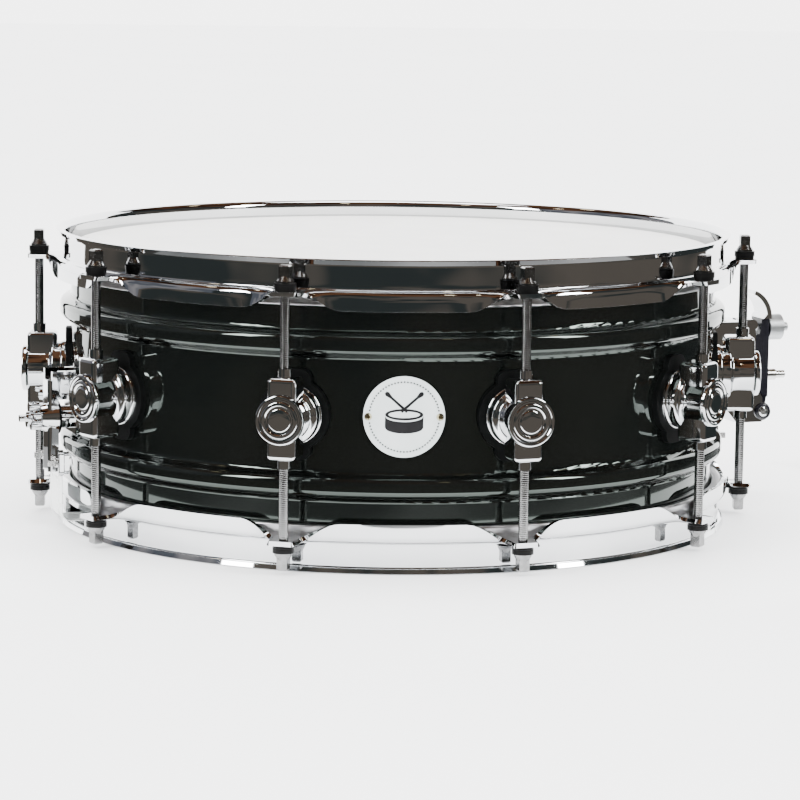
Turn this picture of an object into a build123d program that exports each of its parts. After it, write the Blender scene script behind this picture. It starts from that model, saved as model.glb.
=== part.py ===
from build123d import *
import math
import os

# A 14 x 5.5 inch metal snare drum standing on its snare-side hoop.
# Origin: on the drum's axis, on the plane of the snare-side hoop's crest. +Z is up, the badge faces -Y,
# and the throw-off sits towards +X. All sizes are millimetres.

# ---- Driving dimensions -------------------------------------------------------------------------------
SHELL_RADIUS = 176.0          # outside of the plain shell
SHELL_WALL = 1.5
SHELL_DEPTH = 139.7           # 5.5 inches between the bearing edges
OVERALL_HEIGHT = 158.0        # crest of one hoop to crest of the other
MID = OVERALL_HEIGHT / 2      # height of the drum's middle plane
LUG_COUNT = 10
LUG_STEP = 360 / LUG_COUNT
FIRST_LUG = -18.0             # azimuth from the badge, turning towards +X
BEAD_OFFSET = 36.0            # a bead's centre above or below the middle plane
BEAD_DEPTH = 6.0
HOOP_STEEL = 2.4
HOOP_WALL = 179.75            # middle of the hoop's upright wall
HOOP_LIP = 183.6              # outer edge of the turned-out crest
SKIRT_RADIUS = 183.8          # middle of the hoop's skirt
EAR_FACE = 15.4               # crest to the ear's outer face
SKIRT_END = 25.7              # crest to the skirt's free edge
ROD_CIRCLE = 193.6
ROD_RADIUS = 2.4
ROD_GAP = 0.3                 # clearance round every turning rod and shaft
FILM = 0.4
STRAINER_AZIMUTH = 108.0
BUTT_AZIMUTH = -72.0
SCREW_RADIUS = 2.0
GASKET = 1.2                  # under the throw-off and the butt plate
LUG_GASKET = 3.0
WIRE_COUNT = 20
WIRE_PITCH = 2.1
WIRE_COIL = 0.8               # outer radius of one snare coil
STRAP_HALF = 12.5
STRAP_THICK = 0.4

BEARING = SHELL_DEPTH / 2     # bearing edge above or below the middle plane
EAR_TOP = MID - EAR_FACE      # ear's outer face, from the middle plane
EAR_MIDDLE = EAR_TOP - HOOP_STEEL / 2
EAR_UNDER = EAR_TOP - HOOP_STEEL
HEAD_FACE = BEARING + FILM    # outer face of a drum head, from the middle plane
PARTS = "parts"

os.makedirs(PARTS, exist_ok=True)


# ---- Helpers ------------------------------------------------------------------------------------------
def save(name, shapes):
    """Write one node; a list becomes a group of separate solids."""
    if isinstance(shapes, (list, tuple)):
        solids = [solid for shape in shapes for solid in shape.solids()]
        shapes = Compound(solids) if len(solids) > 1 else solids[0]
    export_step(shapes, f"{PARTS}/{name}.step")


def place(shape, azimuth, flip=False):
    """Turn a shape built towards +X about the middle plane to its azimuth; flip puts it upside down."""
    if flip:
        shape = shape.rotate(Axis.X, 180)
    return Pos(0, 0, MID) * Rot(0, 0, azimuth - 90) * shape


def ring_of(shape, flip=False, start=FIRST_LUG, count=LUG_COUNT):
    return [place(shape, start + LUG_STEP * i, flip) for i in range(count)]


def turned(points):
    """Revolve a closed (radius, height) outline about the drum's axis."""
    return revolve(make_face(Plane.XZ * Polyline(*points, close=True)), Axis.Z, 360)


def sheet_ring(points, radius, width):
    """Revolve a bent strip of sheet metal whose middle line is given."""
    line = FilletPolyline(*points, radius=radius)
    return revolve(Plane.XZ * trace(line, width), Axis.Z, 360)


def block(r0, r1, y0, y1, z0, z1):
    """A box by its limits: outwards, sideways and upwards."""
    return Pos((r0 + r1) / 2, (y0 + y1) / 2, (z0 + z1) / 2) * Box(r1 - r0, y1 - y0, z1 - z0)


def spoke(r0, r1, radius, y=0.0, z=0.0, tip_radius=None):
    """A round bar or cone lying outwards from r0 to r1."""
    tip = radius if tip_radius is None else tip_radius
    if tip == radius:
        bar = Cylinder(radius, r1 - r0)
    else:
        bar = Cone(radius, tip, r1 - r0)
    return Pos((r0 + r1) / 2, y, z) * Rot(0, 90, 0) * bar


def crosswise(y0, y1, radius, r, z):
    """A round bar lying sideways from y0 to y1."""
    return Pos(r, (y0 + y1) / 2, z) * Rot(90, 0, 0) * Cylinder(radius, y1 - y0)


def upright(z0, z1, radius, r=ROD_CIRCLE, y=0.0, top_radius=None):
    """A round bar or cone standing from z0 to z1."""
    top = radius if top_radius is None else top_radius
    if top == radius:
        bar = Cylinder(radius, z1 - z0)
    else:
        bar = Cone(radius, top, z1 - z0)
    return Pos(r, y, (z0 + z1) / 2) * bar


def side_plate(points, y0, y1):
    """A plate cut to an outline in the outward-upward plane and laid from y0 to y1."""
    face = make_face(Plane.XZ * Polyline(*points, close=True))
    return Pos(0, y0, 0) * extrude(face, amount=y1 - y0, dir=(0, 1, 0))


def round_side_edges(shape, radius):
    """Round the corners of a block that run outwards."""
    return fillet(shape.edges().filter_by(Axis.X), radius)


def between(shape, inner, outer):
    """Keep what lies between two cylinders about the drum's axis."""
    height = 400
    tube = Cylinder(outer, height) - Cylinder(inner, height)
    return shape & tube


# ---- Shell --------------------------------------------------------------------------------------------
LUG_SCREW_HEIGHTS = (-8.0, 8.0)
STRAINER_SCREW_HEIGHTS = (-20.0, 20.0)
BUTT_SCREW_HEIGHTS = (-6.0, 4.0)
BADGE_SCREW_OFFSET = 18.0
BADGE_SCREW_RADIUS = 1.0
BADGE_RADIUS = 20.5
BADGE_PLATE = 0.8
VENT_AZIMUTH = 180.0
VENT_BORE = 4.0
VENT_TUBE = 5.0
VENT_FLANGE = 8.5


def lug_screw_places():
    return [(FIRST_LUG + LUG_STEP * i, z) for i in range(LUG_COUNT) for z in LUG_SCREW_HEIGHTS]


def make_shell():
    r = SHELL_RADIUS - SHELL_WALL / 2
    flange = 3.9
    edge = BEARING - SHELL_WALL / 2 * math.sqrt(0.5)
    half = 6.5
    crest = 3.5
    upper = [
        (r - flange, edge),
        (r, edge - flange),
        (r, BEAD_OFFSET + half),
        (r + BEAD_DEPTH, BEAD_OFFSET + crest),
        (r + BEAD_DEPTH, BEAD_OFFSET - crest),
        (r, BEAD_OFFSET - half),
    ]
    lower = [(x, -z) for x, z in reversed(upper)]
    shell = sheet_ring(upper + lower, 3.0, SHELL_WALL)
    hole = spoke(160, 190, SCREW_RADIUS)
    shell = Pos(0, 0, MID) * shell
    for azimuth, z in lug_screw_places():
        shell -= place(Pos(0, 0, z) * hole, azimuth)
    for z in STRAINER_SCREW_HEIGHTS:
        shell -= place(Pos(0, 0, z) * hole, STRAINER_AZIMUTH)
    for z in BUTT_SCREW_HEIGHTS:
        shell -= place(Pos(0, 0, z) * hole, BUTT_AZIMUTH)
    for y in (-BADGE_SCREW_OFFSET, BADGE_SCREW_OFFSET):
        shell -= place(spoke(160, 190, BADGE_SCREW_RADIUS, y=y), 0)
    return shell - place(spoke(160, 190, VENT_TUBE), VENT_AZIMUTH)


def make_vent():
    flange = between(spoke(165, 190, VENT_FLANGE), SHELL_RADIUS, SHELL_RADIUS + 1.2)
    tube = between(spoke(165, 190, VENT_TUBE), SHELL_RADIUS - 3.5, SHELL_RADIUS + 1.2)
    return place(flange + tube - spoke(160, 190, VENT_BORE), VENT_AZIMUTH)


def make_badge():
    plate = between(spoke(160, 190, BADGE_RADIUS), SHELL_RADIUS, SHELL_RADIUS + BADGE_PLATE)
    for y in (-BADGE_SCREW_OFFSET, BADGE_SCREW_OFFSET):
        plate -= spoke(160, 190, BADGE_SCREW_RADIUS, y=y)
    return place(plate, 0)


def make_badge_screws():
    screws = []
    for y in (-BADGE_SCREW_OFFSET, BADGE_SCREW_OFFSET):
        seat = math.sqrt((SHELL_RADIUS + BADGE_PLATE) ** 2 - (abs(y) - 1.9) ** 2)
        head = spoke(seat, seat + 1.1, 1.9, y=y, tip_radius=1.0)
        shank = spoke(SHELL_RADIUS - 6, seat, BADGE_SCREW_RADIUS, y=y)
        screws.append(place(head + shank, 0))
    return screws


# ---- Heads --------------------------------------------------------------------------------------------
FLESH_INNER = 177.2
FLESH_OUTER = 182.2
FLESH_HEIGHT = 6.0


def make_film():
    """Flat film with a collar that drops outside the bearing edge into the flesh hoop."""
    flat = 173.3
    drop = 3.9
    end = EAR_UNDER - FLESH_HEIGHT + 1.8
    outline = [
        (0, HEAD_FACE),
        (flat, HEAD_FACE),
        (FLESH_INNER, HEAD_FACE - drop),
        (FLESH_INNER, end),
        (FLESH_INNER - FILM, end),
        (FLESH_INNER - FILM, BEARING - drop + 0.2),
        (flat - 0.2, BEARING),
        (0, BEARING),
    ]
    return turned(outline)


def make_flesh_hoop():
    low = EAR_UNDER - FLESH_HEIGHT
    outline = [(FLESH_INNER, low), (FLESH_OUTER, low), (FLESH_OUTER, EAR_UNDER), (FLESH_INNER, EAR_UNDER)]
    ring = turned(outline)
    return fillet(ring.edges().filter_by(GeomType.CIRCLE).sort_by(Axis.Z)[:2], 1.0)


# ---- Hoops --------------------------------------------------------------------------------------------
EAR_REACH = 199.6
EAR_HOLE = ROD_RADIUS + 0.6
GATE_HALF = 20.0


def make_hoop(gates=()):
    lip = MID - HOOP_STEEL / 2
    skirt_end = MID - SKIRT_END
    outline = [
        (HOOP_LIP, lip),
        (HOOP_WALL, lip),
        (HOOP_WALL, EAR_MIDDLE),
        (SKIRT_RADIUS, EAR_MIDDLE),
        (SKIRT_RADIUS, skirt_end),
    ]
    hoop = sheet_ring(outline, 1.6, HOOP_STEEL)
    ear_outline = [
        (HOOP_WALL, 19.5),
        (184.0, 17.5),
        (187.5, 11.5),
        (192.0, 7.4),
        (197.0, 6.25),
        (EAR_REACH, 6.25),
    ]
    ear_outline += [(x, -y) for x, y in reversed(ear_outline)]
    ear = extrude(make_face(Polyline(*ear_outline, close=True)), amount=HOOP_STEEL, dir=(0, 0, 1))
    ear = Pos(0, 0, EAR_UNDER) * ear
    scallop = Spline((6.0, EAR_UNDER + 0.4), (15.0, 55.3), (29.0, skirt_end - 0.3), tangents=((1, -0.6), (1, 0)))
    right = [scallop, Line((29.0, skirt_end - 0.3), (29.0, 48)), Line((29.0, 48), (0, 48))]
    right += [Line((0, 48), (0, EAR_UNDER + 0.4)), Line((0, EAR_UNDER + 0.4), (6.0, EAR_UNDER + 0.4))]
    notch = extrude(Plane.YZ * make_face(right), amount=6, dir=(1, 0, 0))
    notch = Pos(182.0, 0, 0) * (notch + mirror(notch, Plane.XZ))
    hole = upright(EAR_UNDER - 2, EAR_TOP + 2, EAR_HOLE)
    keep_out = Cylinder(HOOP_WALL, 400)
    for i in range(LUG_COUNT):
        turn = Rot(0, 0, FIRST_LUG + LUG_STEP * i - 90)
        hoop -= turn * notch
        hoop += turn * (ear - keep_out)
        hoop -= turn * hole
    for azimuth in gates:
        window = block(176, 182.6, -GATE_HALF, GATE_HALF, MID - 12.0, MID - 4.0)
        hoop -= Rot(0, 0, azimuth - 90) * round_side_edges(window, 2.5)
    return hoop


# ---- Lugs and tension rods ----------------------------------------------------------------------------
LUG_SEAT = SHELL_RADIUS + LUG_GASKET
POST_HALF = 7.5
POST_HEIGHT = 20.7
POST_INNER = 183.5
POST_OUTER = 200.0
INSERT_RADIUS = 3.5
INSERT_END = 25.0
ROD_END = 4.0
WASHER = 1.3
BUSH = 2.7
HEAD_FLARE = 3.5
HEAD_TOP = MID - 2.4
KEY_FLAT = 5.4


def make_lug():
    post = round_side_edges(block(POST_INNER, POST_OUTER, -POST_HALF, POST_HALF, -POST_HEIGHT, POST_HEIGHT), 3.2)
    post = fillet(post.faces().sort_by(Axis.X)[-1].edges(), 1.2)
    base = spoke(170, 181.0, 15.6) + spoke(181.0, 182.0, 15.6, tip_radius=14.7)
    base += spoke(182.0, 186.2, 14.7) + spoke(186.2, 187.2, 14.7, tip_radius=12.8)
    waist = spoke(187.2, 200.0, 11.6)
    face = spoke(200.0, 202.2, 12.5) + spoke(202.2, 203.0, 12.5, tip_radius=11.6)
    lug = post + (base - Cylinder(LUG_SEAT, 100)) + waist + face
    lug -= spoke(202.4, 204, 9.75) - spoke(202.4, 204, 8.6)
    lug -= spoke(202.0, 204, 5.25)
    lug -= upright(-POST_HEIGHT - 1, POST_HEIGHT + 1, INSERT_RADIUS)
    for z in LUG_SCREW_HEIGHTS:
        lug -= spoke(170, 186.0, SCREW_RADIUS, z=z)
    return lug


def make_lug_gasket():
    tab = round_side_edges(block(170, 185, -9, 9, -23, 23), 5.0)
    gasket = between(spoke(170, 185, 18.5) + tab, SHELL_RADIUS, LUG_SEAT)
    for z in LUG_SCREW_HEIGHTS:
        gasket -= spoke(160, 190, SCREW_RADIUS, z=z)
    return gasket


def make_pan_screw(z, end, washer=True):
    """A screw put in from inside the shell, with its head against the wall."""
    seat = SHELL_RADIUS - SHELL_WALL
    flat = math.sqrt(seat ** 2 - 4.2 ** 2) if washer else seat
    head = spoke(flat - 3.0, flat, 3.0, z=z, tip_radius=4.2)
    return head + spoke(flat, end, SCREW_RADIUS, z=z)


def make_insert():
    """Threaded insert standing out of the upper end of a lug."""
    insert = upright(ROD_END - 2, INSERT_END, INSERT_RADIUS)
    return insert - upright(ROD_END - 3, INSERT_END + 1, ROD_RADIUS + ROD_GAP)


def make_washer():
    low = EAR_TOP
    return upright(low, low + WASHER, 5.2) - upright(low - 1, low + 3, ROD_RADIUS + ROD_GAP)


def make_bush():
    low = EAR_TOP + WASHER
    return upright(low, low + BUSH, 5.5) - upright(low - 1, low + 4, ROD_RADIUS + ROD_GAP)


def make_rod():
    """Key rod: shank, flared collar and square head, for the upper hoop."""
    seat = EAR_TOP + WASHER + BUSH + 0.05
    shank = upright(ROD_END, seat + 1, ROD_RADIUS)
    flare = upright(seat, seat + 1.0, 4.5) + upright(seat + 1.0, seat + HEAD_FLARE, 4.5, top_radius=2.9)
    square = block(-KEY_FLAT / 2, KEY_FLAT / 2, -KEY_FLAT / 2, KEY_FLAT / 2, seat + 2, HEAD_TOP)
    square = chamfer(square.faces().sort_by(Axis.Z)[-1].edges(), 0.7)
    return shank + flare + Pos(ROD_CIRCLE, 0, 0) * square


# ---- Throw-off ----------------------------------------------------------------------------------------
PIVOT_R = 222.0
PIVOT_Z = -30.0
KNOB_Z = 17.2
SET_SCREW_Z = -10.3
LEVER_HALF = 6.7
LEVER_FACE = 227.7
LEVER_TOP = 23.0
HANDLE_HALF = 8.5
STRAINER_SEAT = SHELL_RADIUS + GASKET
CHANNEL_HALF = 7.3
PIN_RADIUS = 2.2
STRAP_RUN = 189.2             # strap's upright run at the throw-off
JAW_HALF = 17.0
JAW_SCREW_Y = 14.7
JAW_SCREW = 1.7


def make_strainer_gasket():
    pad = between(round_side_edges(block(170, 185, -14, 14, -27.5, 27.5), 4.0), SHELL_RADIUS, STRAINER_SEAT)
    for z in STRAINER_SCREW_HEIGHTS:
        pad -= spoke(160, 190, SCREW_RADIUS, z=z)
    return pad


def make_strainer_housing():
    base = round_side_edges(block(170, 185.5, -13, 13, -26.5, 26.5), 3.5) - Cylinder(STRAINER_SEAT, 100)
    body = side_plate(
        [(184, 22), (212, 22), (216.8, 17), (216.8, -14), (222, -22), (222, -36), (206, -36), (196, -24), (184, -24)],
        -10.8,
        10.8,
    )
    body = chamfer(body.edges().filter_by(Axis.Y).group_by(Axis.Z)[-1], 1.5)
    ears = side_plate([(210, -36), (216, -22), (222.4, -24.8), (225.4, -26), (226.4, -30), (222.4, -35)], -10.8, 10.8)
    boss = crosswise(-10.8, 10.8, 5.2, PIVOT_R, PIVOT_Z)
    housing = base + body + ears + boss
    housing -= block(217.2, 240, -LEVER_HALF - 0.3, LEVER_HALF + 0.3, -60, 15.5)
    housing -= block(185.9, 200.1, -CHANNEL_HALF, CHANNEL_HALF, -60, 60)
    housing -= crosswise(-20, 20, PIN_RADIUS, PIVOT_R, PIVOT_Z)
    for z in STRAINER_SCREW_HEIGHTS:
        housing -= spoke(170, 183.5, SCREW_RADIUS, z=z)
    return housing


def make_magnet_catch():
    """Rounded catch on the housing's nose that holds the closed lever."""
    catch = crosswise(-6.0, 6.0, 3.2, 217.1, 19.3) + block(210, 217.1, -6, 6, 17.4, 22.5)
    return catch - make_strainer_housing()


def make_lever():
    """Thick black arm with a narrow foot that turns on the pivot pin."""
    outline = [(218, -18.5), (LEVER_FACE, -22.5), (LEVER_FACE, LEVER_TOP), (222.6, LEVER_TOP), (221.2, 14.0), (218, 13.5)]
    arm = side_plate(outline, -LEVER_HALF, LEVER_HALF)
    arm = fillet(arm.edges().filter_by(Axis.Z), 1.2)
    foot = side_plate([(219.9, -20.5), (227.4, -22), (226.0, -30), (218.6, -31.5)], -5, 5)
    eye = crosswise(-LEVER_HALF, LEVER_HALF, 4.2, PIVOT_R, PIVOT_Z)
    lever = arm + foot + eye
    lever -= crosswise(-20, 20, PIN_RADIUS + 0.05, PIVOT_R, PIVOT_Z)
    lever -= spoke(217, 232, 2.5 + ROD_GAP, z=KNOB_Z)
    lever -= spoke(220.5, 232, SCREW_RADIUS, z=SET_SCREW_Z)
    return lever


def make_lever_handle():
    """Chrome plate on top of the arm, curving back over the drum."""
    outline = [
        ThreePointArc((LEVER_FACE, LEVER_TOP), (225.6, 32.0), (217.3, 39.2)),
        Line((217.3, 39.2), (216.2, 37.2)),
        ThreePointArc((216.2, 37.2), (222.6, 31.6), (224.9, 25.5)),
        Line((224.9, 25.5), (222.6, LEVER_TOP)),
        Line((222.6, LEVER_TOP), (LEVER_FACE, LEVER_TOP)),
    ]
    plate = extrude(Plane.XZ * make_face(outline), amount=2 * HANDLE_HALF, dir=(0, 1, 0))
    return Pos(0, -HANDLE_HALF, 0) * plate


def make_pivot_pin():
    pin = crosswise(-11.6, 11.6, PIN_RADIUS, PIVOT_R, PIVOT_Z)
    for side in (-1, 1):
        near = min(side * 10.8, side * 12.4)
        pin += crosswise(near, near + 1.6, 3.1, PIVOT_R, PIVOT_Z)
    return pin


def make_tension_knob():
    z = KNOB_Z
    head = spoke(LEVER_FACE + 0.3, 236.6, 7.4, z=z) + spoke(236.6, 238.6, 7.4, z=z, tip_radius=3.4)
    return head + spoke(238.6, 241.2, 2.5, z=z) + spoke(222.0, LEVER_FACE + 0.4, 2.5, z=z)


def make_set_screw():
    collar = spoke(LEVER_FACE, 234.4, 3.2, z=SET_SCREW_Z)
    tip = spoke(234.4, 240.4, 2.2, z=SET_SCREW_Z)
    return collar + tip + spoke(220.5, LEVER_FACE, SCREW_RADIUS, z=SET_SCREW_Z)


def make_carriage():
    """Slider in the housing's channel that lowers the strap clamp."""
    slider = block(STRAP_RUN + 0.1, 199.8, -CHANNEL_HALF + 0.3, CHANNEL_HALF - 0.3, -21.5, 14)
    return chamfer(slider.faces().sort_by(Axis.Z)[0].edges(), 0.8)


def make_strap_jaw():
    """Inner jaw with a stem behind the slider, moved by the fine-tension screw."""
    stem = block(186.2, STRAP_RUN - 0.2, -6.5, 6.5, -36, 8)
    jaw = round_side_edges(block(186.2, STRAP_RUN - 0.2, -JAW_HALF, JAW_HALF, -50, -34), 2.5)
    jaw += stem
    for y in (-JAW_SCREW_Y, JAW_SCREW_Y):
        jaw -= spoke(180, 200, JAW_SCREW, y=y, z=-42)
    return jaw


def make_strap_plate():
    plate = round_side_edges(block(STRAP_RUN + 0.2, 191.6, -JAW_HALF, JAW_HALF, -49, -35), 2.0)
    for y in (-JAW_SCREW_Y, JAW_SCREW_Y):
        plate -= spoke(180, 200, JAW_SCREW, y=y, z=-42)
    return plate


def key_screws(r_in, r_seat, z):
    """Pair of square-headed clamp screws."""
    screws = []
    for y in (-JAW_SCREW_Y, JAW_SCREW_Y):
        shank = spoke(r_in, r_seat, JAW_SCREW, y=y, z=z)
        collar = spoke(r_seat, r_seat + 1.4, 2.3, y=y, z=z)
        head = Pos(r_seat + 3.2, y, z) * Box(3.6, 3.0, 3.0)
        screws.append(shank + collar + head)
    return screws


# ---- Butt plate ---------------------------------------------------------------------------------------
SELECTOR_Z = -18.5
CAM_RADIUS = 4.0
CAM_THROW = 1.73
SPINDLE = 2.6
BUTT_RUN = 190.1              # strap's upright run at the butt plate
POST_FACE = 190.3


def make_butt_gasket():
    pad = between(round_side_edges(block(170, 185, -13, 13, -27.5, 10), 4.0), SHELL_RADIUS, STRAINER_SEAT)
    for z in BUTT_SCREW_HEIGHTS:
        pad -= spoke(160, 190, SCREW_RADIUS, z=z)
    return pad


def make_butt_housing():
    base = round_side_edges(block(170, 182.5, -12, 12, -26.5, 9), 3.5) - Cylinder(STRAINER_SEAT, 100)
    neck = spoke(182.4, 190.0, 6.0, z=SELECTOR_Z)
    rails = block(182.4, 194.5, -9.4, -6.9, -8, 7) + block(182.4, 194.5, 6.9, 9.4, -8, 7)
    housing = base + neck + rails - spoke(181, 192, SPINDLE + ROD_GAP, z=SELECTOR_Z)
    for z in BUTT_SCREW_HEIGHTS:
        housing -= spoke(170, 181.5, SCREW_RADIUS, z=z)
    return housing


def make_butt_seal():
    return spoke(189.0, 189.9, 8.8, z=SELECTOR_Z) - spoke(188, 191, 6.0, z=SELECTOR_Z)


def make_butt_slide():
    """Upright post with a conical boss; the selector's cam lifts or lowers it."""
    post = block(POST_FACE, 196.0, -6.6, 6.6, -47, 2)
    post = fillet(post.edges().filter_by(Axis.Z).group_by(Axis.X)[-1], 2.0)
    jaw = round_side_edges(block(POST_FACE, 193.2, -JAW_HALF, JAW_HALF, -48, -34), 2.5)
    boss = spoke(POST_FACE, 199.0, 8.8, z=SELECTOR_Z, tip_radius=6.8)
    slide = post + jaw + boss
    slide -= block(189, 200, -4.5, 6.2, SELECTOR_Z - CAM_RADIUS - 0.3, SELECTOR_Z + CAM_RADIUS + 0.3)
    for y in (-JAW_SCREW_Y, JAW_SCREW_Y):
        slide -= spoke(180, 200, JAW_SCREW, y=y, z=-41)
    return slide


def make_butt_plate():
    plate = round_side_edges(block(187.4, BUTT_RUN - 0.2, -JAW_HALF, JAW_HALF, -47, -35), 2.0)
    for y in (-JAW_SCREW_Y, JAW_SCREW_Y):
        plate -= spoke(180, 200, JAW_SCREW, y=y, z=-41)
    return plate


def make_selector():
    """Three-lobed knob, cam and spindle that set the butt plate's position."""
    knob = spoke(199.3, 203.4, 5.2, z=SELECTOR_Z)
    for i in range(3):
        angle = math.radians(90 + 120 * i)
        y = 5.6 * math.cos(angle)
        z = SELECTOR_Z + 5.6 * math.sin(angle)
        knob += spoke(199.6, 205.2, 3.0, y=y, z=z)
    knob += spoke(203.0, 206.0, 3.4, z=SELECTOR_Z) + spoke(206.0, 210.2, 1.9, z=SELECTOR_Z)
    cam = spoke(190.5, 199.4, CAM_RADIUS, y=CAM_THROW, z=SELECTOR_Z)
    return knob + cam + spoke(181.5, 190.6, SPINDLE, z=SELECTOR_Z)


# ---- Snares -------------------------------------------------------------------------------------------
WIRE_Z = MID - HEAD_FACE - WIRE_COIL - 0.05
WIRE_HALF_LENGTH = 160.0
PLATE_THICK = 0.8
PLATE_INNER = 149.0
PLATE_OUTER = 163.0


def in_line(shape, azimuth=STRAINER_AZIMUTH):
    """Put a shape built on the floor plane towards +X at the azimuth."""
    return Rot(0, 0, azimuth - 90) * shape


def make_wires():
    wires = []
    for i in range(WIRE_COUNT):
        y = (i - (WIRE_COUNT - 1) / 2) * WIRE_PITCH
        wires.append(in_line(spoke(-WIRE_HALF_LENGTH, WIRE_HALF_LENGTH, WIRE_COIL, y=y, z=WIRE_Z)))
    return wires


def make_end_plates():
    top = WIRE_Z - WIRE_COIL
    plate = block(PLATE_INNER, PLATE_OUTER, -23, 23, top - PLATE_THICK, top)
    plate = fillet(plate.edges().filter_by(Axis.Z), 2.0)
    return [in_line(plate, STRAINER_AZIMUTH), in_line(plate, BUTT_AZIMUTH)]


def make_strap(run, azimuth, top):
    """Flat strap from under the end plate, out through the gate and up into the clamp."""
    low = WIRE_Z - WIRE_COIL - PLATE_THICK - STRAP_THICK / 2
    line = FilletPolyline((152, low), (run, low), (run, MID + top), radius=5.0)
    strip = extrude(Plane.XZ * trace(line, STRAP_THICK), amount=2 * STRAP_HALF, dir=(0, 1, 0))
    return in_line(Pos(0, -STRAP_HALF, 0) * strip, azimuth)


# ---- Write every node ---------------------------------------------------------------------------------
def flipped_pair(shape):
    """The same piece at every lug, above and below the middle plane."""
    return ring_of(shape) + ring_of(shape, flip=True)


def main():
    save("shell", make_shell())
    save("vent_grommet", make_vent())
    save("badge_plate", make_badge())
    save("badge_screws", make_badge_screws())

    film = make_film()
    save("batter_film", Pos(0, 0, MID) * film)
    save("snare_side_film", Pos(0, 0, MID) * film.rotate(Axis.X, 180))
    flesh = make_flesh_hoop()
    save("batter_flesh_hoop", Pos(0, 0, MID) * flesh)
    save("snare_side_flesh_hoop", Pos(0, 0, MID) * flesh.rotate(Axis.X, 180))
    save("batter_hoop", Pos(0, 0, MID) * make_hoop())
    gated = make_hoop(gates=(-STRAINER_AZIMUTH + 180, -BUTT_AZIMUTH + 180))
    save("snare_side_hoop", Pos(0, 0, MID) * gated.rotate(Axis.X, 180))

    save("lug_housings", ring_of(make_lug()))
    save("lug_gaskets", ring_of(make_lug_gasket()))
    screws = [place(make_pan_screw(z, 186.0), azimuth) for azimuth, z in lug_screw_places()]
    save("lug_screws", screws)
    save("lug_inserts", flipped_pair(make_insert()))
    save("rod_washers", flipped_pair(make_washer()))
    save("rod_bushes", flipped_pair(make_bush()))
    rod = make_rod()
    for i in range(LUG_COUNT):
        azimuth = FIRST_LUG + LUG_STEP * i
        save(f"batter_rod_{i + 1:02d}", place(rod, azimuth))
        save(f"snare_side_rod_{i + 1:02d}", place(rod, azimuth, flip=True))

    strainer = {
        "strainer_gasket": make_strainer_gasket(),
        "strainer_housing": make_strainer_housing(),
        "magnet_catch": make_magnet_catch(),
        "lever_arm": make_lever(),
        "lever_handle": make_lever_handle(),
        "lever_pivot_pin": make_pivot_pin(),
        "lever_set_screw": make_set_screw(),
        "fine_tension_knob": make_tension_knob(),
        "strainer_carriage": make_carriage(),
        "strap_jaw": make_strap_jaw(),
        "strap_clamp_plate": make_strap_plate(),
    }
    for name, shape in strainer.items():
        save(name, place(shape, STRAINER_AZIMUTH))
    clamp = key_screws(186.2, 191.6, -42)
    save("strap_clamp_screws", [place(screw, STRAINER_AZIMUTH) for screw in clamp])
    mounts = [place(make_pan_screw(z, 183.5), STRAINER_AZIMUTH) for z in STRAINER_SCREW_HEIGHTS]
    mounts += [place(make_pan_screw(z, 181.5), BUTT_AZIMUTH) for z in BUTT_SCREW_HEIGHTS]
    save("plate_mount_screws", mounts)

    butt = {
        "butt_gasket": make_butt_gasket(),
        "butt_housing": make_butt_housing(),
        "butt_seal": make_butt_seal(),
        "butt_slide": make_butt_slide(),
        "butt_clamp_plate": make_butt_plate(),
        "butt_selector": make_selector(),
    }
    for name, shape in butt.items():
        save(name, place(shape, BUTT_AZIMUTH))
    save("butt_clamp_screws", [place(screw, BUTT_AZIMUTH) for screw in key_screws(187.4, 193.2, -41)])

    save("snare_wires", make_wires())
    save("snare_end_plates", make_end_plates())
    save("strainer_strap", make_strap(STRAP_RUN, STRAINER_AZIMUTH, -36))
    save("butt_strap", make_strap(BUTT_RUN, BUTT_AZIMUTH, -36))


main()
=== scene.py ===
import math
import random

import bmesh
import bpy
from mathutils import Matrix, Vector


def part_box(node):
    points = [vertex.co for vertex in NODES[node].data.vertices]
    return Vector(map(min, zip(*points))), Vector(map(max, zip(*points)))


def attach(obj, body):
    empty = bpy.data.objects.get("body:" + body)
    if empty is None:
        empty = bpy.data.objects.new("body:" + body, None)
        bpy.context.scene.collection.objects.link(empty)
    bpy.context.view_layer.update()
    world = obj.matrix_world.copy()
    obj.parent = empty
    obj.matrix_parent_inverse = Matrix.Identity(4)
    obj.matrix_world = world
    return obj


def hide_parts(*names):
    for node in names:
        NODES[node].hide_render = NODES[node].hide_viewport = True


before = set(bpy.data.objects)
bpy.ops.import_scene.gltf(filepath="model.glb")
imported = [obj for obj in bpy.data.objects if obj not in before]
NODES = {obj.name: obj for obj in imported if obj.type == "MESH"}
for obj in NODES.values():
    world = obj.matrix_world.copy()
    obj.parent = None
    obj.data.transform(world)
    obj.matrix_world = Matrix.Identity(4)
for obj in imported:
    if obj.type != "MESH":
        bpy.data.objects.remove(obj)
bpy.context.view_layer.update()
SCENE = bpy.context.scene
random.seed(14)

# ---- Sizes: metres where MM is a factor, millimetres in the hoops, lugs, threads and badge ------------
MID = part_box("batter_hoop")[1][2] / 2      # height of the drum's middle plane
LUG_COUNT = 10
LUG_STEP = 36.0
FIRST_LUG = -18.0
STRAINER_AZIMUTH = 108.0
BUTT_AZIMUTH = -72.0
MM = 0.001
ROD_CIRCLE = 193.6 * MM
STEEL = 2.4 * MM


def turn_of(azimuth):
    """Angle about +Z that brings +X to an azimuth counted from the badge."""
    return math.radians(azimuth - 90)


def lug_azimuths():
    return [FIRST_LUG + LUG_STEP * i for i in range(LUG_COUNT)]


def spot(azimuth, radius, z):
    a = turn_of(azimuth)
    return Vector((radius * math.cos(a), radius * math.sin(a), z))


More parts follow.
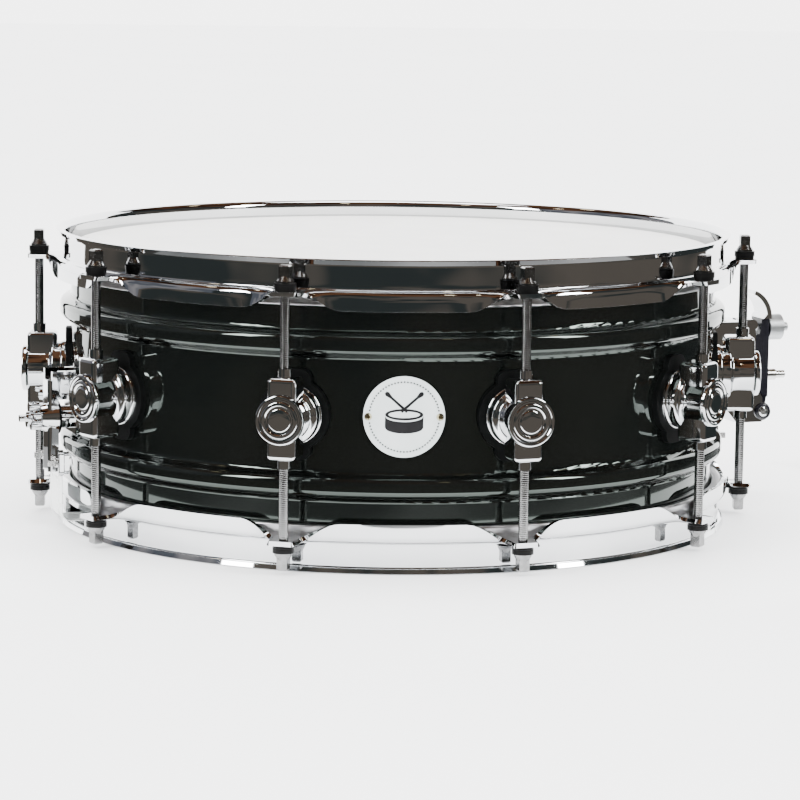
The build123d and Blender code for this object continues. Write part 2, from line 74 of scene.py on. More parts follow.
# ---- Camera, in metres and degrees --------------------------------------------------------------------
CAMERA_AZIMUTH = -2.10
CAMERA_DISTANCE = 1.8148
CAMERA_RISE = 0.2417         # above the drum's middle plane
CAMERA_PITCH = 8.36
CAMERA_ROLL = 0.68
CAMERA_LENS = 149.38
CAMERA_SHIFT = (0.0109, 0.0188)


def make_camera():
    data = bpy.data.cameras.new("camera")
    data.lens = CAMERA_LENS
    data.sensor_width = 36
    data.shift_x, data.shift_y = CAMERA_SHIFT
    data.clip_start = 0.05
    data.clip_end = 50
    camera = bpy.data.objects.new("camera", data)
    SCENE.collection.objects.link(camera)
    place = spot(CAMERA_AZIMUTH, CAMERA_DISTANCE, MID + CAMERA_RISE)
    yaw = Matrix.Rotation(math.radians(CAMERA_AZIMUTH), 4, "Z")
    tilt = Matrix.Rotation(math.radians(90 - CAMERA_PITCH), 4, "X")
    roll = Matrix.Rotation(math.radians(CAMERA_ROLL), 4, "Z")
    camera.matrix_world = Matrix.Translation(place) @ yaw @ tilt @ roll
    SCENE.camera = camera


# ---- Materials -----------------------------------------------------------------------------------------
def finish(name, tones, grain, metallic, rough, bump=0.0, bump_scale=None, **sockets):
    """A procedural material: two tones mixed by noise, a roughness range and a fine bump."""
    made = bpy.data.materials.new(name)
    made.use_nodes = True
    tree = made.node_tree
    shader = tree.nodes["Principled BSDF"]
    place = tree.nodes.new("ShaderNodeTexCoord")
    noise = tree.nodes.new("ShaderNodeTexNoise")
    noise.inputs["Scale"].default_value = grain
    noise.inputs["Detail"].default_value = 4
    tree.links.new(place.outputs["Object"], noise.inputs["Vector"])
    ramp = tree.nodes.new("ShaderNodeValToRGB")
    ramp.color_ramp.elements[0].position = 0.3
    ramp.color_ramp.elements[1].position = 0.7
    ramp.color_ramp.elements[0].color = (*tones[0], 1)
    ramp.color_ramp.elements[1].color = (*tones[1], 1)
    tree.links.new(noise.outputs["Fac"], ramp.inputs["Fac"])
    tree.links.new(ramp.outputs["Color"], shader.inputs["Base Color"])
    spread = tree.nodes.new("ShaderNodeMapRange")
    spread.inputs["To Min"].default_value = rough[0]
    spread.inputs["To Max"].default_value = rough[1]
    tree.links.new(noise.outputs["Fac"], spread.inputs["Value"])
    tree.links.new(spread.outputs["Result"], shader.inputs["Roughness"])
    shader.inputs["Metallic"].default_value = metallic
    for socket, value in sockets.items():
        shader.inputs[socket.replace("_", " ")].default_value = value
    if bump:
        fine = tree.nodes.new("ShaderNodeTexNoise")
        fine.inputs["Scale"].default_value = bump_scale or grain * 20
        fine.inputs["Detail"].default_value = 3
        tree.links.new(place.outputs["Object"], fine.inputs["Vector"])
        relief = tree.nodes.new("ShaderNodeBump")
        relief.inputs["Strength"].default_value = bump
        relief.inputs["Distance"].default_value = 0.0002
        tree.links.new(fine.outputs["Fac"], relief.inputs["Height"])
        tree.links.new(relief.outputs["Normal"], shader.inputs["Normal"])
    return made


BLACK_NICKEL = ((0.048, 0.056, 0.052), (0.060, 0.070, 0.064))
CHROME = ((0.66, 0.675, 0.69), (0.72, 0.73, 0.74))
ROD_CHROME = ((0.22, 0.22, 0.22), (0.34, 0.34, 0.34))
COATED = ((0.60, 0.595, 0.58), (0.65, 0.645, 0.63))
CLEAR_FILM = ((0.72, 0.74, 0.73), (0.80, 0.81, 0.80))
RUBBER = ((0.0015, 0.0018, 0.0018), (0.003, 0.0035, 0.0035))
NYLON = ((0.002, 0.002, 0.002), (0.004, 0.004, 0.004))
GLOSS_BLACK = ((0.004, 0.004, 0.006), (0.008, 0.008, 0.010))
SATIN_ALLOY = ((0.50, 0.52, 0.53), (0.60, 0.62, 0.63))
ZINC_STEEL = ((0.55, 0.55, 0.54), (0.68, 0.68, 0.66))
WIRE_STEEL = ((0.55, 0.55, 0.54), (0.72, 0.72, 0.70))
ALUMINIUM = ((0.62, 0.62, 0.63), (0.72, 0.72, 0.73))
BADGE_PRINT = ((0.52, 0.57, 0.57), (0.58, 0.62, 0.62))
# near black: the badge's printed ink, also used as painted shade for the badge screws' cross recesses
INK_AND_RECESS_SHADE = ((0.006, 0.006, 0.007), (0.010, 0.010, 0.011))
BRASS = ((0.55, 0.47, 0.30), (0.70, 0.62, 0.42))
STRAP_FILM = ((0.62, 0.64, 0.63), (0.70, 0.72, 0.71))


def make_finishes():
    """Every finish: its tones, then grain, metallic, roughness range and bump."""
    return {
        "shell": finish("black_nickel", BLACK_NICKEL, 9, 0.965, (0.03, 0.05)),
        "chrome": finish("chrome_plate", CHROME, 25, 1.0, (0.02, 0.05)),
        "rod": finish("rod_chrome", ROD_CHROME, 300, 1.0, (0.14, 0.26), 0.1),
        "head": finish("coated_head", COATED, 45, 0.0, (0.55, 0.75), 0.5, 2600),
        "clear": finish("snare_side_film", CLEAR_FILM, 20, 0.0, (0.18, 0.3), 0.05),
        "rubber": finish("black_rubber", RUBBER, 200, 0.0, (0.5, 0.65), 0.2, Specular_IOR_Level=0.05),
        "nylon": finish("black_nylon", NYLON, 150, 0.0, (0.28, 0.42), 0.1, Specular_IOR_Level=0.12),
        "black": finish("gloss_black", GLOSS_BLACK, 60, 0.0, (0.1, 0.2), 0.03, Specular_IOR_Level=0.4),
        "satin": finish("satin_alloy", SATIN_ALLOY, 400, 1.0, (0.38, 0.5), 0.2, 4000),
        "steel": finish("zinc_steel", ZINC_STEEL, 250, 1.0, (0.15, 0.3), 0.1),
        "wire": finish("snare_wire", WIRE_STEEL, 500, 1.0, (0.14, 0.28)),
        "ring": finish("rolled_aluminium", ALUMINIUM, 120, 1.0, (0.25, 0.4), 0.1),
        "badge": finish("badge_print", BADGE_PRINT, 90, 0.15, (0.3, 0.42), 0.05),
        # the badge's print, and the painted shade of the badge screws' cross recesses
        "ink_and_recess_shade": finish("badge_ink_and_recess_shade", INK_AND_RECESS_SHADE, 90, 0.0, (0.4, 0.55), 0.05, Specular_IOR_Level=0.2),
        "brass": finish("badge_screw_brass", BRASS, 300, 1.0, (0.12, 0.25), 0.05),
        "strap": finish("strap_film", STRAP_FILM, 80, 0.0, (0.2, 0.35), 0.05),
    }


FINISH_OF = {
    "shell": ["shell"],
    "chrome": [
        "batter_hoop", "snare_side_hoop", "lug_housings", "lug_inserts", "strainer_housing", "magnet_catch",
        "lever_handle", "butt_housing", "butt_slide", "butt_selector", "strap_jaw", "strap_clamp_plate",
        "butt_clamp_plate", "vent_grommet",
    ],
    "head": ["batter_film"],
    "clear": ["snare_side_film"],
    "rubber": ["lug_gaskets", "strainer_gasket", "butt_gasket", "butt_seal"],
    "nylon": ["rod_bushes", "rod_washers"],
    "black": ["lever_arm"],
    "satin": ["fine_tension_knob"],
    "steel": [
        "lug_screws", "plate_mount_screws", "strap_clamp_screws", "butt_clamp_screws", "lever_set_screw",
        "lever_pivot_pin", "strainer_carriage", "snare_end_plates",
    ],
    "wire": ["snare_wires"],
    "ring": ["batter_flesh_hoop", "snare_side_flesh_hoop"],
    "badge": ["badge_plate"],
    "brass": ["badge_screws"],
    "strap": ["strainer_strap", "butt_strap"],
}


def dress(piece, material):
    piece.data.materials.clear()
    piece.data.materials.append(material)


def dress_nodes(looks):
    for look, names in FINISH_OF.items():
        for name in names:
            dress(NODES[name], looks[look])
    for name, node in NODES.items():
        if "_rod_" in name:
            dress(node, looks["rod"])


# ---- Mesh helpers --------------------------------------------------------------------------------------
def mesh_piece(name, verts, faces, material, smooth_angle):
    mesh = bpy.data.meshes.new(name)
    mesh.from_pydata([tuple(v) for v in verts], [], faces)
    mesh.validate()
    mesh.update()
    piece = bpy.data.objects.new(name, mesh)
    SCENE.collection.objects.link(piece)
    mesh.materials.append(material)
    mesh.shade_smooth()
    if smooth_angle:
        mesh.set_sharp_from_angle(angle=math.radians(smooth_angle))
    return piece


def grid_faces(rows, columns, closed=True, skip=()):
    """Faces of a grid stored row by row; closed joins the last column to the first."""
    faces = []
    for r in range(rows - 1):
        for c in range(columns if closed else columns - 1):
            if (r, c) in skip:
                continue
            n = (c + 1) % columns
            faces.append((r * columns + c, r * columns + n, (r + 1) * columns + n, (r + 1) * columns + c))
    return faces


def apply_modifiers(piece):
    """Bake a piece's modifiers into its mesh."""
    graph = bpy.context.evaluated_depsgraph_get()
    baked = bpy.data.meshes.new_from_object(piece.evaluated_get(graph))
    piece.modifiers.clear()
    piece.data = baked


def keep_flats_flat(piece):
    """Weight a piece's normals by face area, so its flats shade flat beside its rounded edges."""
    level = piece.modifiers.new("flats", "WEIGHTED_NORMAL")
    level.keep_sharp = True
    level.weight = 80
    apply_modifiers(piece)


# ---- Hoops ---------------------------------------------------------------------------------------------
EAR_PLANE = 62.4             # middle of the ear plate above the drum's middle plane, mm
WALL = 179.75
CREST = 77.8
SKIRT = 183.8
SKIRT_LOW = 53.4
EAR_REACH = 199.4
EAR_HALF = 6.0
EAR_FADE = 1.3               # from the ear plate to the skirt beside it
FLARE_OUT = 7.5
FLARE_FADE = 6.5
SKIRT_FADE = 21.0
GATE_ROWS = (75.0, 71.0, 67.0)  # heights of the wall rows a gate is cut between
GATE_HALF = 20.0


def ease(x):
    x = min(max(x, 0.0), 1.0)
    return x * x * (3 - 2 * x)


def skirt_edge(y):
    """Free edge of the skirt (radius, height) at a distance y along the hoop from the nearest lug."""
    y = abs(y)
    if y <= EAR_HALF:
        return EAR_REACH, EAR_PLANE
    side = ease((y - EAR_HALF) / EAR_FADE)
    flare = math.exp(-(y - EAR_HALF) / FLARE_FADE)
    wing = SKIRT + FLARE_OUT * flare
    radius = EAR_REACH + (wing - EAR_REACH) * side
    drop = ease((y - EAR_HALF + 1.0) / SKIRT_FADE) ** 0.75
    return radius, EAR_PLANE - (EAR_PLANE - SKIRT_LOW) * drop


ROUND_STEPS = 5


def rounded(corner_from, corner, corner_to, radius):
    """Points of a corner rounded by a quadratic curve."""
    a = Vector(corner_from) - Vector(corner)
    b = Vector(corner_to) - Vector(corner)
    start = Vector(corner) + a.normalized() * min(radius, a.length * 0.9)
    end = Vector(corner) + b.normalized() * min(radius, b.length * 0.6)
    points = []
    for i in range(ROUND_STEPS + 1):
        t = i / ROUND_STEPS
        points.append(start * (1 - t) ** 2 + Vector(corner) * 2 * t * (1 - t) + end * t * t)
    return points


def hoop_section(y):
    """Middle line of the hoop's sheet steel at one place, from the lip to the skirt's edge."""
    edge = skirt_edge(y)
    openness = (edge[1] - SKIRT_LOW) / (EAR_PLANE - SKIRT_LOW)
    corner = (SKIRT + 2.5 * openness, EAR_PLANE)
    lip = [Vector((183.4, CREST - 0.4)), Vector((182.4, CREST))]
    points = lip + rounded((183.4, CREST), (WALL, CREST), (WALL, 70), 2.4)
    points += [Vector((WALL, z)) for z in GATE_ROWS]
    points += rounded((WALL, 70), (WALL, EAR_PLANE), (SKIRT, EAR_PLANE), 2.2)
    points += rounded((WALL, EAR_PLANE), corner, edge, 2.6)
    last = points[-1]
    points += [last + (Vector(edge) - last) * t for t in (0.35, 0.7, 1.0)]
    return points


HALF_SECTOR = math.pi * SKIRT / LUG_COUNT
COLUMN_STEPS = [0, 2, 4, 5.2, 5.8, 6.2, 6.6, 7.0, 7.5, 8.2, 9.2, 10.5, 12, 14, 16, 18, 20.5, 23, 26, 30, 34]
COLUMN_STEPS += [37.8, 42, 47, 52]
FIRST_GATE_ROW = 8           # place of the first gate row in a hoop section
EDGE_ROUND = 0.7 * MM
SHARP_ANGLE = math.radians(50)


def make_hoop(name, material, flip, gates=()):
    """A triple-flanged hoop of formed sheet, with a gate cut through its wall at each azimuth given."""
    columns = []
    for azimuth in lug_azimuths():
        for y in [-s for s in COLUMN_STEPS[:0:-1]] + COLUMN_STEPS + [HALF_SECTOR]:
            columns.append((azimuth + math.degrees(y / SKIRT), y))
    sections = [hoop_section(y) for _, y in columns]
    rows = len(sections[0])
    sign = -1 if flip else 1
    verts = []
    for r in range(rows):
        for (azimuth, _), section in zip(columns, sections):
            radius, z = section[r]
            verts.append(spot(azimuth, radius * MM, MID + sign * z * MM))
    skip = set()
    for gate in gates:
        for c, (azimuth, _) in enumerate(columns):
            following = columns[(c + 1) % len(columns)][0]
            middle = (azimuth + following + (360 if following < azimuth else 0)) / 2
            away = (middle - gate + 180) % 360 - 180
            if abs(math.radians(away) * SKIRT) < GATE_HALF:
                skip.update({(FIRST_GATE_ROW, c), (FIRST_GATE_ROW + 1, c)})
    faces = grid_faces(rows, len(columns), True, skip)
    hoop = mesh_piece(name, verts, faces, material, None)
    thick = hoop.modifiers.new("steel", "SOLIDIFY")
    thick.thickness = STEEL
    thick.offset = 0
    thick.use_even_offset = False
    soft = hoop.modifiers.new("edge", "BEVEL")
    soft.width = EDGE_ROUND
    soft.segments = 3
    soft.limit_method = "ANGLE"
    soft.angle_limit = SHARP_ANGLE
    apply_modifiers(hoop)
    hoop.data.shade_smooth()
    hoop.data.set_sharp_from_angle(angle=SHARP_ANGLE)
    keep_flats_flat(hoop)
    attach(hoop, "drum")
    return hoop


# ---- Lugs ----------------------------------------------------------------------------------------------
LUG_PROFILE = [
    (15.6, 178.4), (15.6, 180.6), (15.3, 181.2), (14.8, 181.6), (14.7, 182.2), (14.7, 185.6), (14.2, 186.4),
    (13.2, 186.9), (12.2, 187.3), (11.6, 188.2), (11.4, 192.0), (11.6, 199.0), (12.0, 199.8), (12.5, 200.4),
    (12.5, 202.0), (12.2, 202.6), (11.6, 202.9), (10.9, 202.8), (10.4, 202.2), (9.7, 202.1), (9.3, 202.6),
    (8.8, 202.9), (7.6, 202.9), (7.1, 202.5), (6.8, 202.1), (6.2, 202.05), (5.8, 202.5), (5.2, 202.75),
    (2.5, 202.8), (0.05, 202.8),
]
POST_DEPTH = (183.5, 200.0)
POST_HALF = 7.5
POST_HEIGHT = 20.7
POST_ROUND = 2.4
LUG_AROUND = 56


def from_lug_frame(azimuth, radial, side, z):
    """Millimetres out from the drum's axis, along the hoop and up, to a place in the scene."""
    a = turn_of(azimuth)
    x = radial * math.cos(a) - side * math.sin(a)
    y = radial * math.sin(a) + side * math.cos(a)
    return Vector((x * MM, y * MM, MID + z * MM))


def turned_mesh(azimuth, profile, around):
    """A form turned about a spoke, from (radius, distance out) pairs."""
    verts, faces = [], []
    for radius, radial in profile:
        for c in range(around):
            angle = 2 * math.pi * c / around
            side, z = radius * math.cos(angle), radius * math.sin(angle)
            verts.append(from_lug_frame(azimuth, radial, side, z))
    return verts, grid_faces(len(profile), around)


def rounded_block(azimuth, radial, half, height, rounding):
    """A block with rounded edges, as vertices and faces."""
    shape = bmesh.new()
    bmesh.ops.create_cube(shape, size=1.0)
    depth = radial[1] - radial[0]
    for v in shape.verts:
        v.co = Vector((v.co.x * depth, v.co.y * 2 * half, v.co.z * 2 * height))
    edges = list(shape.edges)
    bmesh.ops.bevel(shape, geom=edges, offset=rounding, segments=4, profile=0.5, affect="EDGES")
    centre = (radial[0] + radial[1]) / 2
    verts = [from_lug_frame(azimuth, centre + v.co.x, v.co.y, v.co.z) for v in shape.verts]
    shape.verts.index_update()
    faces = [tuple(v.index for v in f.verts) for f in shape.faces]
    shape.free()
    return verts, faces


def make_lugs(material):
    verts, faces = [], []
    for azimuth in lug_azimuths():
        parts = [turned_mesh(azimuth, LUG_PROFILE, LUG_AROUND)]
        parts.append(rounded_block(azimuth, POST_DEPTH, POST_HALF, POST_HEIGHT, POST_ROUND))
        for part_verts, part_faces in parts:
            first = len(verts)
            verts += part_verts
            faces += [tuple(first + n for n in face) for face in part_faces]
    lugs = mesh_piece("lugs_turned", verts, faces, material, 35)
    keep_flats_flat(lugs)
    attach(lugs, "drum")
    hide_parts("lug_housings")


# ---- Rod threads ---------------------------------------------------------------------------------------
THREAD_PITCH = 1.06
THREAD_CREST = 2.58
THREAD_ROOT = 2.28
THREAD_FROM = 22.0           # distances from the middle plane
THREAD_TO = 60.5


def make_thread(name, body, azimuth, low, high, material):
    """A rolled thread round the rod between two heights, as real helical ridges."""
    around = 14
    per_turn = 4
    rows = int((high - low) / THREAD_PITCH * per_turn)
    centre = spot(azimuth, ROD_CIRCLE, 0)
    verts = []
    for r in range(rows + 1):
        z = low + (high - low) * r / rows
        for c in range(around):
            phase = (z / THREAD_PITCH + c / around) % 1.0
            ridge = 1 - abs(2 * phase - 1)
            radius = (THREAD_ROOT + (THREAD_CREST - THREAD_ROOT) * ridge) * MM
            if r in (0, rows):
                radius = THREAD_ROOT * MM
            angle = 2 * math.pi * c / around
            verts.append(centre + Vector((radius * math.cos(angle), radius * math.sin(angle), MID + z * MM)))
    piece = mesh_piece(name, verts, grid_faces(rows + 1, around), material, None)
    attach(piece, body)


def make_threads(material):
    for i, azimuth in enumerate(lug_azimuths()):
        upper = f"batter_rod_{i + 1:02d}"
        lower = f"snare_side_rod_{i + 1:02d}"
        make_thread(upper + "_thread", upper, azimuth, THREAD_FROM, THREAD_TO, material)
        make_thread(lower + "_thread", lower, azimuth, -THREAD_TO, -THREAD_FROM, material)


# ---- Screw faces ---------------------------------------------------------------------------------------
PIVOT = (222.0, -30.0)
PIVOT_COLLAR = [(3.0, 0.0), (3.0, 1.5), (3.3, 1.9), (4.2, 1.9), (4.6, 1.5), (4.7, 0.0)]
PIVOT_SCREW = [(2.9, 0.0), (2.9, 1.5), (2.6, 1.85), (1.7, 1.95), (1.5, 1.3), (0.03, 1.2)]
PIVOT_EDGE = 10.8


PIVOT_AROUND = 32
CROSS_ARM = 1.25
BADGE_SCREW_SIDE = 18.0


def crosswise_turned(azimuth, radial, z_middle, side, profile):
    """A turned form on an axis along the hoop, starting at a place beside the spoke."""
    verts = []
    sign = 1 if side > 0 else -1
    for radius, rise in profile:
        for c in range(PIVOT_AROUND):
            angle = 2 * math.pi * c / PIVOT_AROUND
            out = radial + radius * math.cos(angle)
            z = z_middle + radius * math.sin(angle)
            verts.append(from_lug_frame(azimuth, out, side + sign * rise, z))
    return verts, grid_faces(len(profile), PIVOT_AROUND)


def make_pivot_faces(looks):
    for side, word in ((-PIVOT_EDGE, "near"), (PIVOT_EDGE, "far")):
        for profile, part, look in ((PIVOT_COLLAR, "collar", "black"), (PIVOT_SCREW, "screw", "chrome")):
            verts, faces = crosswise_turned(STRAINER_AZIMUTH, PIVOT[0], PIVOT[1], side, profile)
            piece = mesh_piece(f"pivot_{part}_{word}", verts, faces, looks[look], 50)
            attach(piece, "drum")


def make_painted_cross_shade(looks):
    """Painted shade on the badge's two screw heads: dark raised crosses where the shade inside their cross
    recesses would fall.
    """
    for side, word in ((-BADGE_SCREW_SIDE, "left"), (BADGE_SCREW_SIDE, "right")):
        for turn, arm in ((20, "a"), (110, "b")):
            angle = math.radians(turn)
            dx, dz = CROSS_ARM * math.cos(angle), CROSS_ARM * math.sin(angle)
            line = [(side - dx, -dz), (side, 0.0), (side + dx, dz)]
            outline = badge_strip(line, [0.22, 0.3, 0.22])
            # each arm is a dark patch raised over the screw head: painted shade in place of a cut recess
            badge_patch(f"badge_screw_{word}_{arm}", outline, looks["ink_and_recess_shade"], 0.45)


# ---- Snare wires ---------------------------------------------------------------------------------------
WIRE_COUNT = 20
WIRE_PITCH = 2.1 * MM
COIL_PITCH = 1.0 * MM
COIL_POINTS = 7
WIRE_RADIUS = 0.19 * MM
WIRE_HALF_LENGTH = 160.0 * MM


def make_snare_wires(material):
    """Twenty wire coils side by side under the lower head."""
    low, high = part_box("snare_wires")
    middle = (low[2] + high[2]) / 2
    coil_radius = (high[2] - low[2]) / 2 - WIRE_RADIUS
    half = WIRE_HALF_LENGTH
    along = Vector((math.cos(turn_of(STRAINER_AZIMUTH)), math.sin(turn_of(STRAINER_AZIMUTH)), 0))
    across = Vector((-along.y, along.x, 0))
    curve = bpy.data.curves.new("snare_coils", "CURVE")
    curve.dimensions = "3D"
    curve.bevel_depth = WIRE_RADIUS
    curve.bevel_resolution = 0
    curve.use_fill_caps = True
    for i in range(WIRE_COUNT):
        offset = (i - (WIRE_COUNT - 1) / 2) * WIRE_PITCH
        start = random.random()
        count = int(2 * half / COIL_PITCH * COIL_POINTS)
        line = curve.splines.new("POLY")
        line.points.add(count - 1)
        for k in range(count):
            angle = 2 * math.pi * (k / COIL_POINTS + start)
            side = coil_radius * math.cos(angle)
            rise = coil_radius * math.sin(angle)
            point = along * (-half + 2 * half * k / (count - 1)) + across * (offset + side)
            line.points[k].co = (point.x, point.y, middle + rise, 1)
    source = bpy.data.objects.new("snare_coils_curve", curve)
    SCENE.collection.objects.link(source)
    graph = bpy.context.evaluated_depsgraph_get()
    mesh = bpy.data.meshes.new_from_object(source.evaluated_get(graph))
    bpy.data.objects.remove(source)
    piece = bpy.data.objects.new("snare_coils", mesh)
    SCENE.collection.objects.link(piece)
    mesh.shade_smooth()
    dress(piece, material)
    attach(piece, "snares")
    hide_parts("snare_wires")


# ---- Badge emblem --------------------------------------------------------------------------------------
BADGE_FACE = 176.8
INK_LIFT = 0.12
DOT_COUNT = 68
DOT_CIRCLE = 17.6
DOT_RADIUS = 0.48
DOT_GAP = 0.13               # sine of the angle left free of dots beside each screw
DRUM_HALF = 9.6              # the small drawn drum: half width, depth of its ovals, height of its body
DRUM_OVAL = 2.9
DRUM_INNER = (7.9, 1.7)
DRUM_TOP = 1.2
BODY_TOP = 0.4
BODY_LOW = -5.4
BODY_COLUMNS = 24
OVAL_POINTS = 28
STICK_LINE = [(-1.5, 2.6), (6.4, 9.6), (7.4, 10.5), (8.5, 11.5), (9.4, 12.3)]
STICK_WIDTHS = [0.75, 0.6, 0.9, 1.25, 0.7]


def on_badge(x, z, lift):
    """A point of the badge's curved face, x to the right and z up from its centre, in mm."""
    radius = BADGE_FACE + lift
    angle = x / radius
    return Vector((radius * math.sin(angle) * MM, -radius * math.cos(angle) * MM, MID + z * MM))


def badge_patch(name, outline, material, lift=INK_LIFT):
    """A thin raised patch on the badge with a closed outline."""
    count = len(outline)
    verts = [on_badge(x, z, lift) for x, z in outline] + [on_badge(x, z, -0.1) for x, z in outline]
    faces = [tuple(range(count))]
    for i in range(count):
        n = (i + 1) % count
        faces.append((i, i + count, n + count, n))
    piece = mesh_piece(name, verts, faces, material, 30)
    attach(piece, "drum")


def badge_strip(centre_line, widths):
    """Outline of a strip that follows a line of points, half as wide to each side as given."""
    left, right = [], []
    for i, (x, z) in enumerate(centre_line):
        x0, z0 = centre_line[max(i - 1, 0)]
        x1, z1 = centre_line[min(i + 1, len(centre_line) - 1)]
        along = Vector((x1 - x0, z1 - z0)).normalized()
        left.append((x - along.y * widths[i], z + along.x * widths[i]))
        right.append((x + along.y * widths[i], z - along.x * widths[i]))
    return right + left[::-1]


def oval_line(x_half, z_half):
    """Points of a closed oval round the drawn drum's top."""
    line = []
    for i in range(OVAL_POINTS):
        angle = math.radians(360 * i / OVAL_POINTS)
        line.append((x_half * math.cos(angle), DRUM_TOP + z_half * math.sin(angle)))
    return line


def make_emblem(looks):
    """A generic badge: a fine dotted border round a plain drum with two sticks."""
    dots = bmesh.new()
    for i in range(DOT_COUNT):
        angle = 2 * math.pi * i / DOT_COUNT
        if abs(math.sin(angle)) < DOT_GAP:
            continue
        centre = on_badge(DOT_CIRCLE * math.cos(angle), DOT_CIRCLE * math.sin(angle), 0.08)
        place = Matrix.Translation(centre)
        bmesh.ops.create_icosphere(dots, subdivisions=1, radius=DOT_RADIUS * MM, matrix=place)
    mesh = bpy.data.meshes.new("badge_dots")
    dots.to_mesh(mesh)
    dots.free()
    mesh.shade_smooth()
    border = bpy.data.objects.new("badge_dots", mesh)
    SCENE.collection.objects.link(border)
    dress(border, looks["ink_and_recess_shade"])
    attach(border, "drum")
    rim = oval_line(DRUM_HALF, DRUM_OVAL)
    inner = oval_line(*DRUM_INNER)
    ring = [on_badge(x, z, INK_LIFT) for x, z in rim + inner]
    n = len(rim)
    faces = [(i, (i + 1) % n, n + (i + 1) % n, n + i) for i in range(n)]
    top = mesh_piece("badge_drum_rim", ring, faces, looks["ink_and_recess_shade"], None)
    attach(top, "drum")
    points = []
    for i in range(BODY_COLUMNS + 1):
        x = -DRUM_HALF + 2 * DRUM_HALF * i / BODY_COLUMNS
        sag = DRUM_OVAL * math.sqrt(max(0.0, 1 - (x / DRUM_HALF) ** 2))
        points += [on_badge(x, BODY_TOP - sag, INK_LIFT), on_badge(x, BODY_LOW - sag, INK_LIFT)]
    faces = [(2 * i, 2 * i + 1, 2 * i + 3, 2 * i + 2) for i in range(BODY_COLUMNS)]
    body = mesh_piece("badge_drum_body", points, faces, looks["ink_and_recess_shade"], None)
    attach(body, "drum")
    for side, word in ((-1, "left"), (1, "right")):
        line = [(side * x, z) for x, z in STICK_LINE]
        badge_patch(f"badge_stick_{word}", badge_strip(line, STICK_WIDTHS), looks["ink_and_recess_shade"])


# ---- Studio, in metres --------------------------------------------------------------------------------
FLOOR_HALF = 9.0
CARD_STEPS = 64
LIGHT_TARGET = (0, 0, 0.08)
WORLD_STRENGTH = 5.0
ROOM_HALF_ANGLE = 128
FLOOR_CARD = (0.36, 0.004)   # where the half-lit ring on the floor meets the dark one
LAMP_AZIMUTHS = (-150, -95, -40, 20, 75, 130)
LAMP_SPAN = 4


def only_in_reflections(card):
    card.visible_camera = False
    card.visible_diffuse = False
    card.visible_shadow = False
    card.visible_transmission = False


def glow_material(name, tones, scale):
    """A card that only reflections see; its patches break up what the plating mirrors."""
    made = bpy.data.materials.new(name)
    made.use_nodes = True
    tree = made.node_tree
    tree.nodes.clear()
    out = tree.nodes.new("ShaderNodeOutputMaterial")
    glow = tree.nodes.new("ShaderNodeEmission")
    noise = tree.nodes.new("ShaderNodeTexNoise")
    noise.inputs["Scale"].default_value = scale
    place = tree.nodes.new("ShaderNodeTexCoord")
    ramp = tree.nodes.new("ShaderNodeValToRGB")
    ramp.color_ramp.elements[0].position = 0.44
    ramp.color_ramp.elements[1].position = 0.56
    ramp.color_ramp.elements[0].color = (*tones[0], 1)
    ramp.color_ramp.elements[1].color = (*tones[1], 1)
    glow.inputs["Strength"].default_value = 1.0
    tree.links.new(place.outputs["Object"], noise.inputs["Vector"])
    tree.links.new(noise.outputs["Fac"], ramp.inputs["Fac"])
    tree.links.new(ramp.outputs["Color"], glow.inputs["Color"])
    tree.links.new(glow.outputs["Emission"], out.inputs["Surface"])
    return made


def arc_card(name, inner, outer, azimuths, material):
    """A card swept round the drum between two (radius, height) lines."""
    first, last = azimuths
    verts = []
    for radius, z in (inner, outer):
        for i in range(CARD_STEPS + 1):
            verts.append(spot(first + (last - first) * i / CARD_STEPS, radius, z))
    card = mesh_piece(name, verts, grid_faces(2, CARD_STEPS + 1, False), material, None)
    only_in_reflections(card)


def area_light(name, place, size, power):
    """A soft rectangular light aimed at the drum."""
    data = bpy.data.lights.new(name, "AREA")
    data.shape = "RECTANGLE"
    data.size, data.size_y = size
    data.energy = power
    light = bpy.data.objects.new(name, data)
    SCENE.collection.objects.link(light)
    aim = Vector(LIGHT_TARGET) - Vector(place)
    light.matrix_world = Matrix.Translation(place) @ aim.to_track_quat("-Z", "Y").to_matrix().to_4x4()


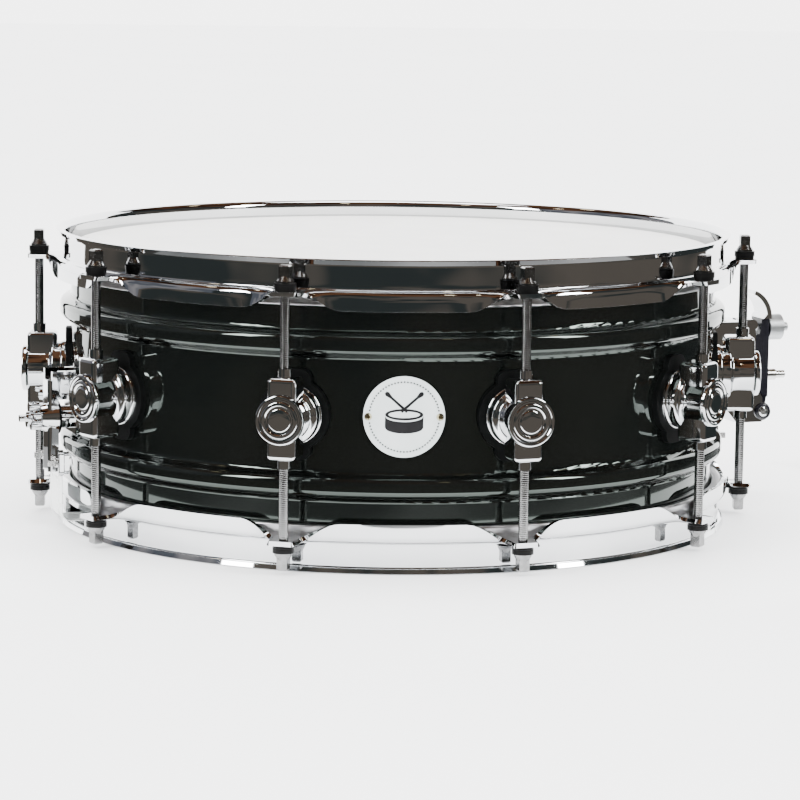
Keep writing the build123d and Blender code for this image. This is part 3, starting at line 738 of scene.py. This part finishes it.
def make_studio():
    pale = finish("pale_floor", ((0.90, 0.905, 0.91), (0.92, 0.925, 0.93)), 3, 0.0, (0.5, 0.6))
    side = FLOOR_HALF
    corners = [(-side, -side, 0), (side, -side, 0), (side, side, 0), (-side, side, 0)]
    floor = mesh_piece("floor", corners, [(0, 1, 2, 3)], pale, None)
    front = glow_material("dark_room", ((0.035, 0.042, 0.042), (0.12, 0.105, 0.09)), 0.9)
    slate = glow_material("slate_room", ((0.12, 0.13, 0.155), (0.32, 0.31, 0.32)), 1.1)
    ceiling = glow_material("warm_ceiling", ((0.02, 0.012, 0.008), (0.16, 0.075, 0.04)), 0.8)
    lamp = glow_material("lamp", ((9, 7.5, 5), (12, 10, 7)), 5)
    half_lit = glow_material("floor_edge", ((0.25, 0.26, 0.26), (0.6, 0.6, 0.6)), 3)
    all_round = (-ROOM_HALF_ANGLE, ROOM_HALF_ANGLE)
    arc_card("near_floor_card", (0.30, 0.003), FLOOR_CARD, all_round, half_lit)
    arc_card("front_floor_card", FLOOR_CARD, (5.0, 0.006), all_round, front)
    arc_card("front_room_card", (3.2, 0.0), (3.2, 2.3), (-70, ROOM_HALF_ANGLE), front)
    arc_card("left_room_card", (3.0, 0.0), (3.0, 2.3), (-ROOM_HALF_ANGLE, -62), slate)
    arc_card("ceiling_card", (0.001, 2.4), (3.2, 2.25), (-180, 180), ceiling)
    for i, azimuth in enumerate(LAMP_AZIMUTHS):
        arc_card(f"lamp_card_{i}", (1.5, 2.2), (1.62, 2.2), (azimuth, azimuth + LAMP_SPAN), lamp)
    world = bpy.data.worlds.new("studio")
    SCENE.world = world
    world.use_nodes = True
    back = world.node_tree.nodes["Background"]
    back.inputs["Color"].default_value = (1, 1, 1, 1)
    back.inputs["Strength"].default_value = WORLD_STRENGTH
    area_light("key_left", (-1.9, -1.3, 1.5), (0.5, 1.2), 45)
    area_light("key_right", (1.9, -1.0, 1.4), (0.4, 1.1), 40)
    area_light("overhead", (0, 0.3, 2.1), (1.2, 0.8), 30)


# ---- Build ---------------------------------------------------------------------------------------------
make_camera()
make_studio()
LOOKS = make_finishes()
dress_nodes(LOOKS)
upper_hoop = make_hoop("batter_hoop_formed", LOOKS["chrome"], False)
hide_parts("batter_hoop")
lower_hoop = make_hoop("snare_side_hoop_formed", LOOKS["chrome"], True, (STRAINER_AZIMUTH, BUTT_AZIMUTH))
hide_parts("snare_side_hoop")
make_lugs(LOOKS["chrome"])
make_threads(LOOKS["rod"])
make_snare_wires(LOOKS["wire"])
make_emblem(LOOKS)
make_pivot_faces(LOOKS)
make_painted_cross_shade(LOOKS)
